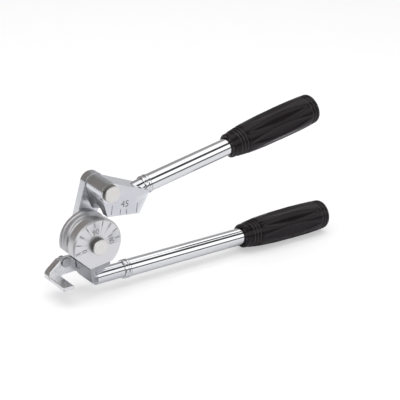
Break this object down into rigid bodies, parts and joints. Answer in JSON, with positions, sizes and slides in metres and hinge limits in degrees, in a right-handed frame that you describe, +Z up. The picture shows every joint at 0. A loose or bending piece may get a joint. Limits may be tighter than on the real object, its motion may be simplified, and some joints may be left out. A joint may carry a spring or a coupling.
{
  "type": "manual tube bender",
  "caption": "Hand lever tube bender: grooved round forming wheel with a dial, swinging shoe handle on a link, hanging tube hook, chrome handles with fluted black grips.",
  "frame": {"origin": "on the forming wheel's axis, at the flat front face of its axle pin's head", "axes": "+X along the lower handle towards its grip, +Z up towards the shoe handle, -Y out of the dial face, so the wheel's axis is Y"},
  "size_m": [0.3084, 0.0425, 0.146],
  "materials": {
    "satin_chrome": "satin nickel-chrome plate",
    "bright_chrome": "polished chrome plate",
    "pin_steel": "turned steel",
    "dark_spring_steel": "blackened spring steel",
    "bronze": "plain bearing bronze",
    "black_grip": "semi-gloss moulded"
  },
  "bodies": {
    "fixed_side": {"forming_wheel": "satin_chrome", "wheel_dowel_left": "pin_steel", "wheel_dowel_right": "pin_steel", "hook_handle_head": "satin_chrome", "wheel_axle_pin": "pin_steel", "axle_thrust_washer": "pin_steel", "axle_rear_washer": "pin_steel", "axle_retaining_ring": "dark_spring_steel", "hook_pivot_rivet": "pin_steel", "fixed_ferrule": "bright_chrome", "fixed_handle_tube": "bright_chrome", "fixed_grip": "black_grip"},
    "link": {"link_bar": "satin_chrome", "link_axle_bushing": "bronze", "shoe_pivot_pin": "pin_steel", "pivot_rear_washer": "pin_steel", "pivot_retaining_ring": "dark_spring_steel"},
    "shoe_side": {"shoe_handle_head": "satin_chrome", "shoe_pivot_bushing": "bronze", "shoe_pivot_washer": "pin_steel", "shoe_ferrule": "bright_chrome", "shoe_handle_tube": "bright_chrome", "shoe_grip": "black_grip"},
    "hook": {"tube_hook": "satin_chrome"}
  },
  "joints": [
    {"name": "link_swing", "type": "hinge", "parent": "fixed_side", "child": "link", "pos_m": [0, 0, 0], "axis": [0, -1, 0], "range_deg": [0, 102]},
    {"name": "shoe_handle_pivot", "type": "hinge", "parent": "link", "child": "shoe_side", "pos_m": [0.01202, 0, 0.0475], "axis": [0, -1, 0], "range_deg": [-19, 80]},
    {"name": "hook_swing", "type": "hinge", "parent": "fixed_side", "child": "hook", "pos_m": [-0.0173, 0, -0.022], "axis": [0, -1, 0], "range_deg": [-45, 8]}
  ]
}
